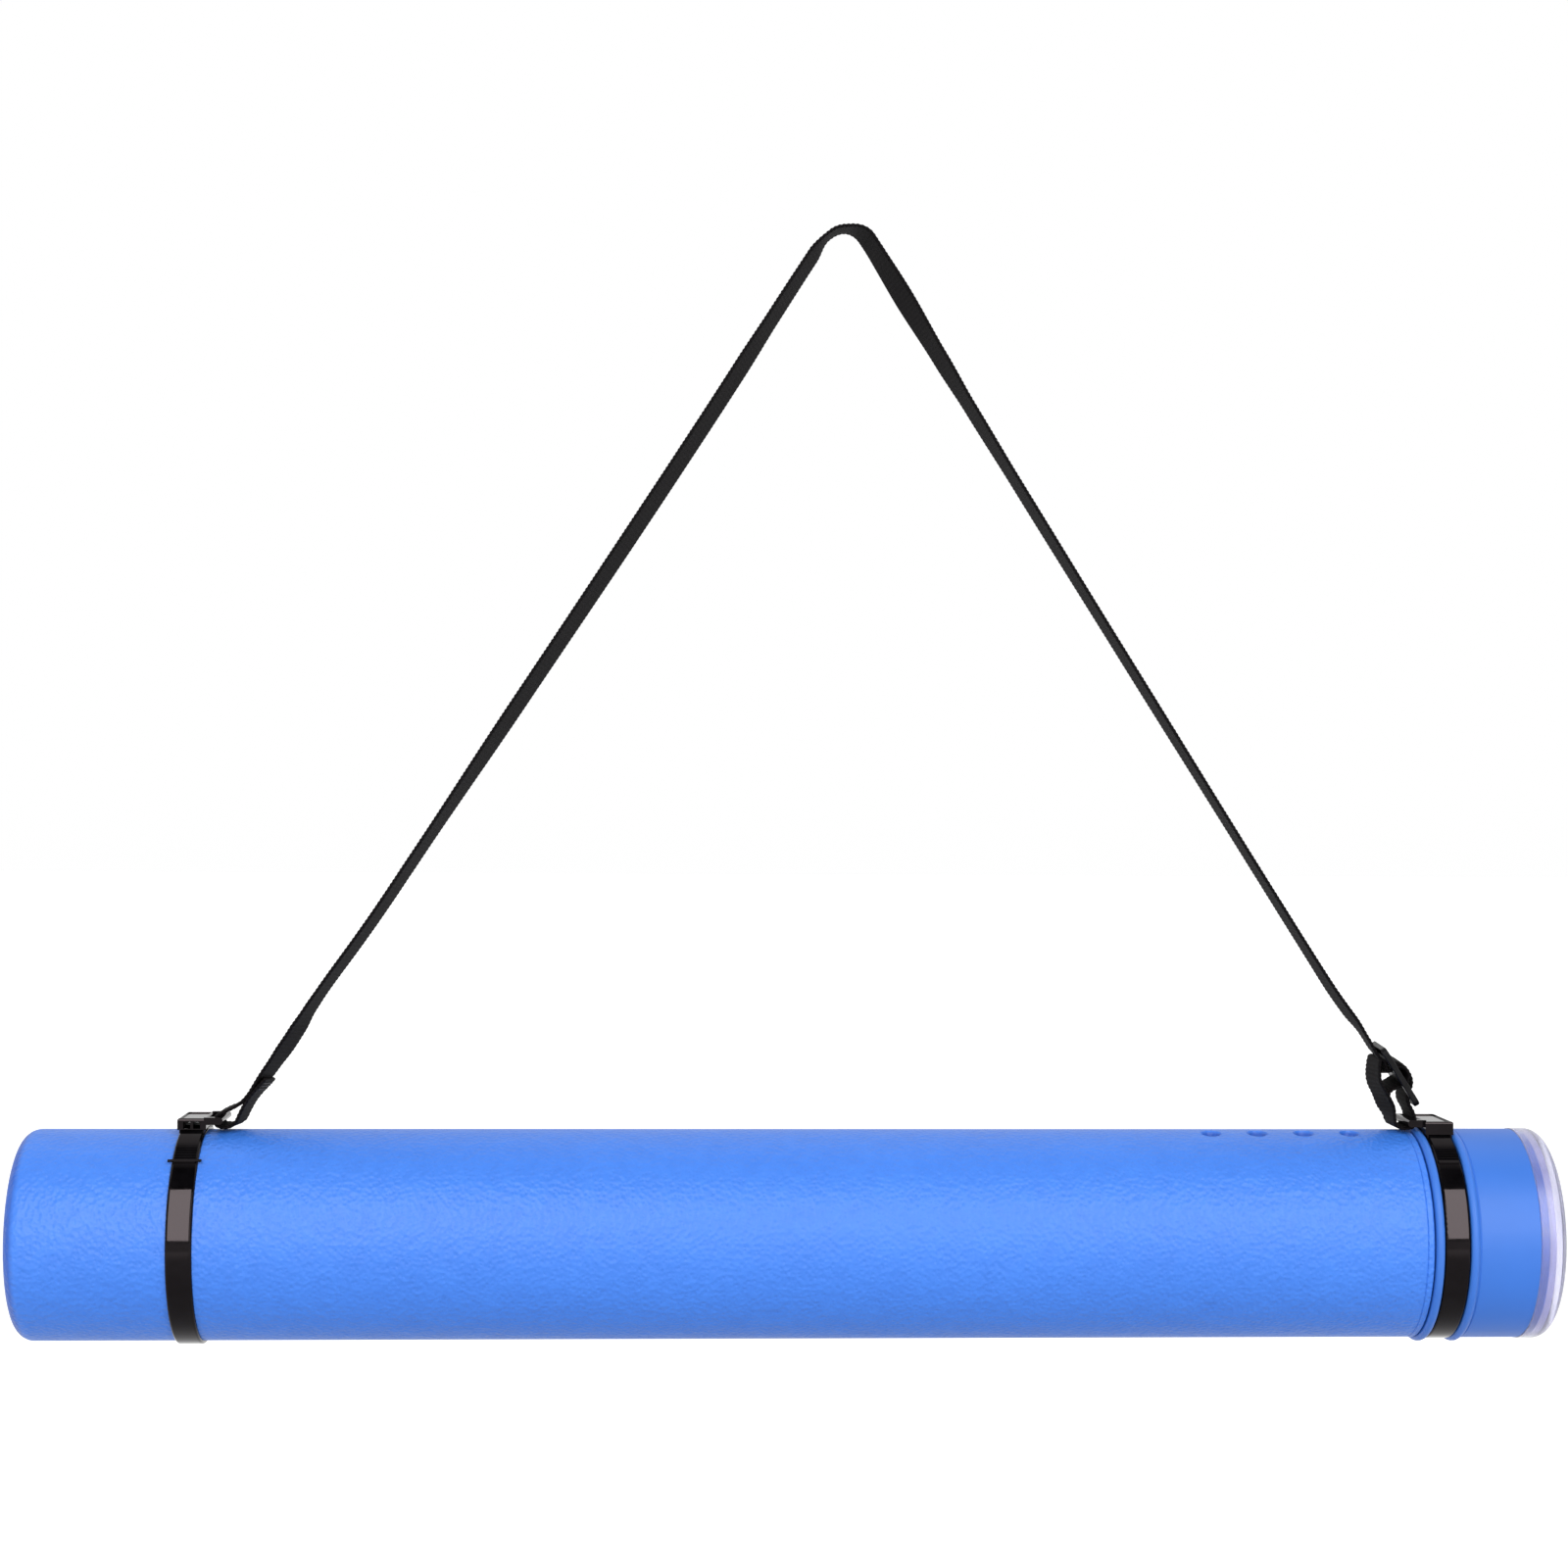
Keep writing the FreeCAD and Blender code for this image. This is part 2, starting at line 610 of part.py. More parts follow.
def left_fold_route(strap):
    """The ply that passes under the left eye's bar and up the inner side of the strap, to its cut end."""
    start = strap[0]
    return [start, (start[0], LEFT_LOOP_Z), *LEFT_FOLD_BENDS]


def right_fold_route(strap):
    """The ply that goes back up from the right eye, round the adjuster's middle bar, to its sewn end."""
    return [
        strap[-1],
        *RIGHT_FOLD_BENDS,
        at_adjuster(-11.4, -6.8),
        at_adjuster(-10.6, -5.1),
        at_adjuster(-4.2, -5.0),
        at_adjuster(-4.0, 3.6),
        at_adjuster(3.8, 3.6),
        at_adjuster(2.7, -8.4),
        at_adjuster(9.4, -8.7),
    ]


def strap_adjuster():
    half_length = ADJUSTER_LENGTH / 2
    half_width = ADJUSTER_WIDTH / 2
    half_thick = ADJUSTER_THICKNESS / 2
    body = box(-half_length, half_length, -half_width, half_width, -half_thick, half_thick)
    upright = [e for e in body.Edges if abs(e.tangentAt(e.FirstParameter).z) > 0.9]
    body = body.makeFillet(3.0, upright)
    rims = [e for e in body.Edges if abs(e.CenterOfMass.z) > half_thick - 0.01]
    body = body.makeFillet(ADJUSTER_EDGE_R, rims)
    slot_length = half_length - ADJUSTER_END_BAR - ADJUSTER_MIDDLE_BAR / 2
    for side in (-1, 1):
        x0 = ADJUSTER_MIDDLE_BAR / 2 if side > 0 else -ADJUSTER_MIDDLE_BAR / 2 - slot_length
        slot = box(
            x0,
            x0 + slot_length,
            -ADJUSTER_SLOT_WIDTH / 2,
            ADJUSTER_SLOT_WIDTH / 2,
            -half_thick - 1,
            half_thick + 1,
        )
        body = body.cut(slot)
    body.rotate(V(0, 0, 0), X_AXIS, ADJUSTER_TILT)
    return on_leg(body)


def on_leg(shape):
    """Lays a shape drawn flat (x along the strap, z out of its face) on the right leg."""
    down, _ = leg_direction()
    angle = math.degrees(math.atan2(-down[1], down[0]))
    shape.rotate(V(0, 0, 0), Y_AXIS, angle)
    shape.translate(V(ADJUSTER_X, 0, ADJUSTER_Z))
    return shape


def bar_tack(route, backs, side):
    """Separate sewn threads across the last run of a ply, at distances back from its end.

    The threads lie on the run's left face where side is 1, and on its right face where side is -1.
    """
    p, q = route[-2], route[-1]
    d = unit((q[0] - p[0], q[1] - p[1]))
    lift = side * (WEB_THICKNESS / 2 + STITCH_R + 0.02)
    threads = []
    for back in backs:
        x = q[0] - d[0] * back - d[1] * lift
        z = q[1] - d[1] * back + d[0] * lift
        start = V(x, -STITCH_HALF_LENGTH, z)
        threads.append(Part.makeCylinder(STITCH_R, 2 * STITCH_HALF_LENGTH, start, Y_AXIS))
    return Part.makeCompound(threads)


# ---- build -----------------------------------------------------------------------------------------


def nodes():
    left_bore = OUTER_R + BAND_GAP
    right_bore = SEAT_R + BAND_GAP
    left_seat = left_bore + BAND_THICKNESS
    right_seat = right_bore + BAND_THICKNESS
    strap = strap_route()
    left_fold = left_fold_route(strap)
    right_fold = right_fold_route(strap)
    result = {
        "outer_tube": outer_tube(),
        "inner_tube": inner_tube(),
        "guide_ring": guide_ring(),
        "lid": lid(),
        "band_left": band(LEFT_BAND_X, left_bore, True),
        "band_right": band(RIGHT_BAND_X, right_bore, False),
    }
    sides = (
        ("left", LEFT_BAND_X, left_seat, LEFT_BUCKLE_DEPTH),
        ("right", RIGHT_BAND_X, right_seat, RIGHT_BUCKLE_DEPTH),
    )
    for side, x, seat, depth in sides:
        mirrored = side == "right"
        result["buckle_" + side] = placed(buckle(seat, depth, not mirrored), x, mirrored)
        result["pawl_" + side] = placed(pawl(seat), x, mirrored)
        result["pawl_pin_" + side] = placed(pawl_pin(seat), x, mirrored)
        result["pawl_spring_" + side] = placed(pawl_spring(seat), x, mirrored)
    result["webbing_strap"] = ribbon("webbing_strap", strap)
    result["webbing_left_fold"] = ribbon("webbing_left_fold", left_fold)
    result["webbing_right_fold"] = ribbon("webbing_right_fold", right_fold)
    result["stitching_left"] = bar_tack(left_fold, (2.0, 3.6, 5.2), -1)
    result["stitching_right"] = bar_tack(right_fold, (0.9, 2.1, 3.3), 1)
    result["strap_adjuster"] = strap_adjuster()
    return result


def main():
    os.makedirs("parts", exist_ok=True)
    for name, shape in nodes().items():
        shape.translate(V(-HANG_X, 0, -HANG_Z))
        state = "valid" if shape.isValid() else "NOT VALID"
        print(f"{name}: {len(shape.Solids)} solid(s), {shape.Volume / 1000:.2f} cm3, {state}")
        shape.exportStep(f"parts/{name}.step")


main()
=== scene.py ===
import math

import bpy
from mathutils import Matrix, Vector


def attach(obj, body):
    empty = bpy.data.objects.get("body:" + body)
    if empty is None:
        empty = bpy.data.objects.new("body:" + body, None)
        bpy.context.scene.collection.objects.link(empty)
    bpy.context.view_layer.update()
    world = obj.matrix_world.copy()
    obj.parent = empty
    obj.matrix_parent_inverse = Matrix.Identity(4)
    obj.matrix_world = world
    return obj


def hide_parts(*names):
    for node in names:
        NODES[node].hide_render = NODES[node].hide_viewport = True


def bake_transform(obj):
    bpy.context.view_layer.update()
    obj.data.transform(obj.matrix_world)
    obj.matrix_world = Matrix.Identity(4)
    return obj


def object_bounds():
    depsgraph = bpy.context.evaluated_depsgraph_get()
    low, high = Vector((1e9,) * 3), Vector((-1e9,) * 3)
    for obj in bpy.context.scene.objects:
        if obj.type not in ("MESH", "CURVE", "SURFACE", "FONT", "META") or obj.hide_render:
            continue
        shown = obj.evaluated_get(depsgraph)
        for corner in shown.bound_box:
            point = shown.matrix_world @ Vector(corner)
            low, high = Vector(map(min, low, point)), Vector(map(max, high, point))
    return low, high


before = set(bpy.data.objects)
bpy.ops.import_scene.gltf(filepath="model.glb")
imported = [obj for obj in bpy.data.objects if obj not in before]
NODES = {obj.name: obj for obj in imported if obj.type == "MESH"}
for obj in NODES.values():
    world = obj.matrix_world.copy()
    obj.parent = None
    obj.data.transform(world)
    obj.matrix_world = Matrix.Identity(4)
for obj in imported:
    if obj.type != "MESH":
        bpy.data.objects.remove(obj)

cad_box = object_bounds()
MM = 0.001

# ---- where the tube lies, in metres, below the point that the strap hangs from -----------------------

TUBE_X = -0.352
TUBE_Z = -0.437
TUBE_R = 0.045


# ---- materials ----------------------------------------------------------------------------------------


class Shader:
    """A material under construction: one Principled shader and the procedural nodes that feed it."""

    def __init__(self, name, color, roughness, **constants):
        self.mat = bpy.data.materials.new(name)
        self.mat.use_nodes = True
        self.nodes = self.mat.node_tree.nodes
        self.links = self.mat.node_tree.links
        self.bsdf = self.nodes["Principled BSDF"]
        self.color = color
        self.bsdf.inputs["Base Color"].default_value = (*color, 1.0)
        self.bsdf.inputs["Roughness"].default_value = roughness
        for key, value in constants.items():
            self.bsdf.inputs[key.replace("_", " ")].default_value = value
        self.where = self.nodes.new("ShaderNodeTexCoord").outputs["Object"]
        self.mat.diffuse_color = (*color, 1.0)

    def node(self, kind, **settings):
        made = self.nodes.new(kind)
        for key, value in settings.items():
            setattr(made, key, value)
        return made

    def stretched(self, x, y, z, where=None):
        scale = self.node("ShaderNodeMapping")
        scale.inputs["Scale"].default_value = (x, y, z)
        self.links.new(where or self.where, scale.inputs["Vector"])
        return scale.outputs["Vector"]

    def from_axis(self):
        """The distance from the tube's axis, in metres."""
        flat = self.node("ShaderNodeMapping")
        flat.inputs["Location"].default_value = (0.0, 0.0, -TUBE_Z)
        flat.inputs["Scale"].default_value = (0.0, 1.0, 1.0)
        self.links.new(self.where, flat.inputs["Vector"])
        made = self.node("ShaderNodeVectorMath", operation="LENGTH")
        self.links.new(flat.outputs["Vector"], made.inputs[0])
        return made.outputs["Value"]

    def noise(self, scale, detail=3.0, roughness=0.55, where=None):
        made = self.node("ShaderNodeTexNoise")
        made.inputs["Scale"].default_value = scale
        made.inputs["Detail"].default_value = detail
        made.inputs["Roughness"].default_value = roughness
        self.links.new(where or self.where, made.inputs["Vector"])
        return made.outputs["Fac"]

    def cells(self, scale, smoothness):
        made = self.node("ShaderNodeTexVoronoi", feature="SMOOTH_F1")
        made.inputs["Scale"].default_value = scale
        made.inputs["Smoothness"].default_value = smoothness
        self.links.new(self.where, made.inputs["Vector"])
        return made.outputs["Distance"]

    def waves(self, scale, direction, where):
        made = self.node("ShaderNodeTexWave", bands_direction=direction)
        made.inputs["Scale"].default_value = scale
        self.links.new(where, made.inputs["Vector"])
        return made.outputs["Fac"]

    def math(self, operation, a, b):
        made = self.node("ShaderNodeMath", operation=operation)
        for socket, value in zip(made.inputs, (a, b)):
            if isinstance(value, (int, float)):
                socket.default_value = value
            else:
                self.links.new(value, socket)
        return made.outputs[0]

    def fit(self, value, low, high, start=0.25, end=0.75):
        """A texture value from start to end becomes a value from low to high."""
        made = self.node("ShaderNodeMapRange")
        self.links.new(value, made.inputs["Value"])
        for key, number in (("From Min", start), ("From Max", end), ("To Min", low), ("To Max", high)):
            made.inputs[key].default_value = number
        return made.outputs["Result"]

    def tint(self, value, dark, light, start=0.3, end=0.7):
        """The base colour runs from dark to light times the material's own colour."""
        ramp = self.node("ShaderNodeValToRGB")
        for element, place, share in zip(ramp.color_ramp.elements, (start, end), (dark, light)):
            element.position = place
            element.color = (*[min(1.0, c * s) for c, s in zip(self.color, share)], 1.0)
        self.links.new(value, ramp.inputs["Fac"])
        self.links.new(ramp.outputs["Color"], self.bsdf.inputs["Base Color"])
        return self

    def rough(self, value, low, high):
        self.links.new(self.fit(value, low, high), self.bsdf.inputs["Roughness"])
        return self

    def bump(self, height, distance, strength=1.0):
        """Relief of that height, in metres, on top of any relief made before."""
        made = self.node("ShaderNodeBump")
        made.inputs["Strength"].default_value = strength
        made.inputs["Distance"].default_value = distance
        self.links.new(height, made.inputs["Height"])
        normal = self.bsdf.inputs["Normal"]
        if normal.is_linked:
            self.links.new(normal.links[0].from_socket, made.inputs["Normal"])
        self.links.new(made.outputs["Normal"], normal)
        return self


def same(share):
    """The same share of red, green and blue."""
    return (share, share, share)


# the scale at which a wave texture repeats once in each unit of its coordinate
WAVE_PER_UNIT = math.pi / 10


# how far below the tube's surface the painted shade in its dimples and grooves begins and ends, in metres
SHADE_FROM = 0.0002
SHADE_FULL = 0.0012
SHADE_DEPTH = 0.75


def grained_blue():
    """The outer tube: leather-like grain, with painted shade in the dimples and grooves."""
    s = Shader("grained_blue", (0.038, 0.175, 0.650), 0.47, Specular_IOR_Level=0.5)
    grain = s.cells(520.0, 0.7)
    fine = s.noise(1500.0, 2.0)
    mottle = s.noise(150.0, 3.0)
    broad = s.noise(14.0, 4.0)
    shade = s.math("ADD", s.math("MULTIPLY", broad, 0.45), s.math("MULTIPLY", mottle, 0.55))
    # painted shade: the colour darkens on every surface below the tube's outer radius, in the dimples and
    # grooves
    painted_recess_shade = s.fit(s.from_axis(), SHADE_DEPTH, 0.0, TUBE_R - SHADE_FULL, TUBE_R - SHADE_FROM)
    level = s.math("SUBTRACT", s.fit(shade, 0.75, 1.0, 0.3, 0.7), painted_recess_shade)
    s.tint(level, (0.35, 0.45, 0.62), same(1.08), 0.0, 1.0)
    s.rough(s.math("ADD", s.math("MULTIPLY", broad, 0.5), s.math("MULTIPLY", fine, 0.5)), 0.40, 0.54)
    return s.bump(mottle, 0.00060, 0.8).bump(grain, 0.00055, 0.8).bump(fine, 0.00004, 0.6).mat


def smooth_blue():
    """The inner tube: plain plastic with a faint drawn look along its axis."""
    s = Shader("smooth_blue", (0.031, 0.143, 0.540), 0.46, Specular_IOR_Level=0.4)
    broad = s.noise(20.0, 4.0)
    drawn = s.noise(60.0, 3.0, where=s.stretched(0.08, 1.0, 1.0))
    s.tint(broad, same(0.95), same(1.05))
    s.rough(drawn, 0.42, 0.52)
    return s.bump(s.noise(900.0, 2.0), 0.00002, 0.5).mat


def milky():
    """The lid: clear plastic with a slight cloud in it."""
    s = Shader(
        "milky_lid",
        (0.80, 0.80, 1.0),
        0.2,
        Transmission_Weight=0.9,
        IOR=1.3,
        Specular_IOR_Level=0.5,
    )
    cloud = s.noise(45.0, 4.0)
    s.tint(cloud, same(0.96), same(1.03))
    s.rough(cloud, 0.14, 0.26)
    return s.bump(s.noise(700.0, 2.0), 0.00002, 0.5).mat


# the colour of what the gloss plastic reflects straight back
WARM = (1.0, 0.84, 0.87, 1.0)


def gloss_black(name):
    """The bands and buckles: glossy plastic."""
    s = Shader(name, (0.0020, 0.0018, 0.0022), 0.06, Specular_IOR_Level=0.16, Specular_Tint=WARM)
    cloud = s.noise(160.0, 4.0)
    s.tint(cloud, same(0.7), same(1.6))
    s.rough(cloud, 0.04, 0.09)
    ripple = s.noise(900.0, 2.0, where=s.stretched(0.12, 1.0, 1.0))
    return s.bump(ripple, 0.00001, 0.5).mat


def satin_black(name):
    """The catches and the adjuster: plastic with a dull sheen."""
    s = Shader(name, (0.0022, 0.0020, 0.0026), 0.36, Specular_IOR_Level=0.14)
    cloud = s.noise(300.0, 4.0)
    s.tint(cloud, same(0.7), same(1.5))
    s.rough(cloud, 0.28, 0.42)
    return s.bump(s.noise(1500.0, 2.0), 0.00002, 0.5).mat


def webbing(name):
    """Woven webbing with painted shade in the grooves between its ribs: its UV map counts ribs along the
    piece and half widths across it.
    """
    s = Shader(name, (0.0038, 0.0031, 0.0034), 0.7, Specular_IOR_Level=0.06)
    weave = s.node("ShaderNodeTexCoord").outputs["UV"]
    ribs = s.waves(WAVE_PER_UNIT, "Y", weave)
    warp = s.noise(1.0, 2.0, where=s.stretched(14.0, 0.6, 1.0, weave))
    yarn = s.noise(2600.0, 3.0)
    mix = s.math("ADD", s.math("MULTIPLY", yarn, 0.45), s.math("MULTIPLY", warp, 0.55))
    # painted shade: the rib wave darkens the colour once per rib, in the grooves between the ribs
    shade = s.math("SUBTRACT", mix, s.math("MULTIPLY", ribs, 0.22))
    s.tint(shade, same(0.35), same(1.9), 0.15, 0.6)
    s.rough(yarn, 0.62, 0.82)
    return s.bump(warp, 0.00008, 0.6).bump(yarn, 0.00008, 0.6).mat


def thread():
    s = Shader("thread", (0.022, 0.021, 0.022), 0.6, Specular_IOR_Level=0.35)
    twist = s.noise(3800.0, 2.0)
    s.tint(twist, same(0.6), same(1.6))
    s.rough(twist, 0.5, 0.7)
    return s.bump(twist, 0.00006, 0.6).mat


def brushed_steel():
    s = Shader("pin_steel", (0.58, 0.58, 0.6), 0.3, Metallic=1.0)
    drawn = s.noise(900.0, 3.0, where=s.stretched(0.1, 1.0, 1.0))
    s.tint(drawn, same(0.85), same(1.1))
    s.rough(drawn, 0.22, 0.4)
    return s.bump(drawn, 0.00001, 0.5).mat


def felt():
    s = Shader("ring_felt", (0.05, 0.05, 0.055), 0.9, Specular_IOR_Level=0.2, Sheen_Weight=0.3)
    fibre = s.noise(2400.0, 4.0, 0.7)
    s.tint(fibre, same(0.6), same(1.5))
    s.rough(fibre, 0.8, 0.97)
    return s.bump(fibre, 0.0002, 0.8).mat


WEBBING = webbing("webbing_weave")
BLACK_GLOSS = gloss_black("band_gloss")
BLACK_SATIN = satin_black("catch_satin")
THREAD = thread()
STEEL = brushed_steel()

finishes = {
    "outer_tube": grained_blue(),
    "inner_tube": smooth_blue(),
    "lid": milky(),
    "guide_ring": felt(),
    "band_left": BLACK_GLOSS,
    "band_right": BLACK_GLOSS,
    "buckle_left": BLACK_GLOSS,
    "buckle_right": BLACK_GLOSS,
    "pawl_left": BLACK_SATIN,
    "pawl_right": BLACK_SATIN,
    "pawl_pin_left": STEEL,
    "pawl_pin_right": STEEL,
    "pawl_spring_left": STEEL,
    "pawl_spring_right": STEEL,
    "strap_adjuster": BLACK_SATIN,
}
for node, finish in finishes.items():
    for material_slot in NODES[node].material_slots:
        material_slot.material = finish


# ---- camera -------------------------------------------------------------------------------------------

CAMERA_AT = Vector((-0.0807, -1.2278, -0.2417))
CAMERA_YAW = math.radians(-2.55)
CAMERA_ROLL = math.radians(0.325)

camera_data = bpy.data.cameras.new("camera")
camera_data.sensor_width = 36.0
camera_data.lens = 64.9
camera = bpy.data.objects.new("camera", camera_data)
bpy.context.scene.collection.objects.link(camera)
turn = Matrix.Rotation(CAMERA_YAW, 4, "Z") @ Matrix.Rotation(math.pi / 2, 4, "X")
camera.matrix_world = Matrix.Translation(CAMERA_AT) @ turn @ Matrix.Rotation(CAMERA_ROLL, 4, "Z")
bpy.context.scene.camera = camera


# ---- webbing ------------------------------------------------------------------------------------------

WEB_WIDTH = 0.020
WEB_THICKNESS = 0.0014
RIB_PITCH = 0.0019
RIB_HEIGHT = 0.00011
RINGS_PER_RIB = 5
COLUMNS = 22
# how far the edge of the webbing steps in between two ribs
SELVEDGE = 0.00022
# from this share of the half width outwards the webbing thins, by that share of its thickness at the edge
RIM_START = 0.9
RIM_THINNING = 0.55
# the share of a rib's height that is the same in every column; the rest alternates from column to column
EVEN_SHARE = 0.72


def in_row_frame(u, z):
    """A point of the tube's own frame, in millimetres, in the frame of the model, in metres."""
    return Vector((u * MM + TUBE_X, 0.0, z * MM + TUBE_Z))


def nurbs_line(name, points):
    """The points along a NURBS spline with those control points."""
    data = bpy.data.curves.new(name, "CURVE")
    data.dimensions = "3D"
    data.resolution_u = 40
    spline = data.splines.new("NURBS")
    spline.points.add(len(points) - 1)
    for point, place in zip(spline.points, points):
        point.co = (*place, 1.0)
    spline.order_u = 3
    spline.use_endpoint_u = True
    holder = bpy.data.objects.new(name, data)
    bpy.context.scene.collection.objects.link(holder)
    bpy.context.view_layer.update()
    mesh = bpy.data.meshes.new_from_object(holder)
    line = [v.co.copy() for v in mesh.vertices]
    bpy.data.objects.remove(holder)
    bpy.data.curves.remove(data)
    bpy.data.meshes.remove(mesh)
    return line


def spaced(line, step):
    """The same line with evenly spaced points, and its length."""
    reached = [0.0]
    for a, b in zip(line, line[1:]):
        reached.append(reached[-1] + (b - a).length)
    total = reached[-1]
    count = max(4, round(total / step))
    points = []
    i = 0
    for k in range(count + 1):
        s = total * k / count
        while i < len(line) - 2 and reached[i + 1] < s:
            i += 1
        share = (s - reached[i]) / max(reached[i + 1] - reached[i], 1e-12)
        points.append(line[i].lerp(line[i + 1], min(1.0, share)))
    return points, total


def eased(table, x):
    """A value between the rows (place, value) of a table, turning smoothly."""
    if x <= table[0][0]:
        return table[0][1]
    for (x0, v0), (x1, v1) in zip(table, table[1:]):
        if x <= x1:
            t = (x - x0) / (x1 - x0)
            return v0 + (v1 - v0) * t * t * (3 - 2 * t)
    return table[-1][1]


class Ribbon:
    """Webbing along a route: its rings' centres, its width directions and its outward directions."""

    def __init__(self, name, route, twist):
        self.line, self.length = spaced(nurbs_line(name, route), RIB_PITCH / RINGS_PER_RIB)
        self.across = []
        self.out = []
        last = len(self.line) - 1
        for i in range(last + 1):
            along = (self.line[min(i + 1, last)] - self.line[max(i - 1, 0)]).normalized()
            out = Vector((-along.z, 0.0, along.x))
            angle = math.radians(eased(twist, i / last * self.length))
            back = Vector((0.0, 1.0, 0.0))
            self.across.append(back * math.cos(angle) - out * math.sin(angle))
            self.out.append(out * math.cos(angle) + back * math.sin(angle))

    def index(self, s):
        """The ring nearest to a length s along the route."""
        return min(len(self.line) - 1, max(0, round(s / self.length * (len(self.line) - 1))))

    def at(self, s, u, side):
        """The point on a face (side 1 outside, -1 inside) at a length s and a place u across, -1 to 1."""
        i = self.index(s)
        half = WEB_THICKNESS / 2
        return self.line[i] + self.across[i] * u * WEB_WIDTH / 2 + self.out[i] * side * half

    def mesh(self, name):
        """The webbing as a mesh with ribs, whose UV map is the one that the webbing material reads."""
        verts = []
        weave = []
        loop = 2 * COLUMNS
        for i, centre in enumerate(self.line):
            phase = 2 * math.pi * i / RINGS_PER_RIB
            edge = WEB_WIDTH / 2 - SELVEDGE * (1 - math.cos(phase)) / 2
            for k in range(loop):
                side = 1 if k < COLUMNS else -1
                column = k if k < COLUMNS else loop - 1 - k
                u = -1 + 2 * column / (COLUMNS - 1)
                rim = 1 - RIM_THINNING * max(0.0, abs(u) - RIM_START) / (1 - RIM_START)
                shift = math.pi * (column % 2) if 1 < column < COLUMNS - 2 else 0.0
                even = EVEN_SHARE * math.cos(phase)
                relief = RIB_HEIGHT * (even + (1 - EVEN_SHARE) * math.cos(phase + shift))
                if side < 0:
                    relief = -relief
                height = WEB_THICKNESS / 2 * rim + relief * rim
                verts.append(centre + self.across[i] * u * edge + self.out[i] * side * height)
                weave.append((u, i / RINGS_PER_RIB))
        faces = []
        for i in range(len(self.line) - 1):
            for k in range(loop):
                a = i * loop + k
                b = i * loop + (k + 1) % loop
                faces.append((a, b, b + loop, a + loop))
        faces.append(tuple(range(loop))[::-1])
        faces.append(tuple(range((len(self.line) - 1) * loop, len(self.line) * loop)))
        made = piece(name, verts, faces, WEBBING)
        places = made.data.uv_layers.new(name="weave").data
        for corner, place in zip(made.data.loops, places):
            place.uv = weave[corner.vertex_index]
        return made


def piece(name, verts, faces, material):
    data = bpy.data.meshes.new(name)
    data.from_pydata([tuple(v) for v in verts], [], faces)
    data.update()
    data.materials.append(material)
    data.polygons.foreach_set("use_smooth", [True] * len(data.polygons))
    made = bpy.data.objects.new(name, data)
    bpy.context.scene.collection.objects.link(made)
    return made


# each route's control points are in the tube's own frame, in millimetres; each twist is a list of lengths
# along the route, in metres, with the webbing's turn about it there, in degrees
STRAP_ROUTE = (
    (82.45, 50.05),
    (82.45, 52.05),
    (95.00, 57.00),
    (103.00, 68.20),
    (115.00, 85.50),
    (123.90, 101.10),
    (147.94, 134.00),
    (170.20, 168.20),
    (281.90, 337.20),
    (335.80, 423.20),
    (345.60, 437.00),
    (358.00, 437.00),
    (365.00, 426.80),
    (420.70, 336.26),
    (562.15, 113.19),
    (571.61, 99.50),
    (581.46, 86.90),
    (587.32, 76.07),
    (596.20, 76.24),
    (601.60, 67.60),
    (597.36, 59.82),
    (601.90, 52.60),
    (601.90, 46.65),
    (597.70, 46.65),
)
STRAP_TWIST = (
    (0.006, 0.0),
    (0.033, 12.0),
    (0.043, 15.0),
    (0.052, 14.5),
    (0.062, 10.0),
    (0.072, 9.0),
    (0.095, 9.5),
    (0.147, 9.6),
    (0.222, 14.5),
    (0.322, 16.0),
    (0.397, 16.0),
    (0.425, 13.0),
    (0.455, 12.0),
    (0.467, 1.0),
    (0.474, -1.0),
    (0.486, 12.0),
    (0.515, 16.0),
    (0.546, 10.5),
    (0.572, 5.6),
    (0.610, 3.0),
    (0.700, 1.3),
    (0.800, -0.5),
    (0.850, 0.0),
    (0.885, 1.5),
    (0.896, -4.0),
    (0.908, -6.5),
    (0.920, -3.0),
    (0.930, 0.0),
)

LEFT_FOLD_ROUTE = (
    (82.45, 50.05),
    (82.45, 46.90),
    (91.60, 46.90),
    (94.60, 54.00),
    (98.60, 60.60),
    (104.80, 67.00),
)
LEFT_FOLD_TWIST = ((0.006, 0.0), (0.014, 6.0), (0.033, 7.0))
RIGHT_FOLD_ROUTE = (
    (597.70, 46.65),
    (593.80, 46.65),
    (592.50, 52.40),
    (589.10, 60.50),
    (585.60, 66.50),
    (585.60, 72.00),
    (586.00, 76.90),
    (588.20, 76.80),
    (589.00, 69.20),
    (595.41, 74.00),
    (599.58, 68.09),
    (588.00, 62.60),
    (590.80, 58.80),
)
RIGHT_FOLD_TWIST = (
    (0.006, 0.0),
    (0.013, -9.0),
    (0.020, -7.0),
    (0.027, -4.0),
    (0.034, -2.0),
    (0.043, 6.0),
    (0.055, 6.0),
    (0.068, 1.0),
)

strap_route = [in_row_frame(*p) for p in STRAP_ROUTE]
strap_ribbon = Ribbon("strap_line", strap_route, STRAP_TWIST)
strap = strap_ribbon.mesh("strap_webbing")
left_ribbon = Ribbon("left_fold_line", [in_row_frame(*p) for p in LEFT_FOLD_ROUTE], LEFT_FOLD_TWIST)
left_fold = left_ribbon.mesh("strap_left_fold")
right_ribbon = Ribbon("right_fold_line", [in_row_frame(*p) for p in RIGHT_FOLD_ROUTE], RIGHT_FOLD_TWIST)
right_fold = right_ribbon.mesh("strap_right_fold")


THREAD_R = 0.00026
THREAD_SIDES = 8
STITCH_COUNT = 7
STITCH_STEPS = 10
STITCH_REACH = 0.8
# the height of the thread's middle over the webbing, in thread radii: at a needle hole, and what a stitch
# adds to it
STITCH_SINK = 0.3
STITCH_ARCH = 0.9


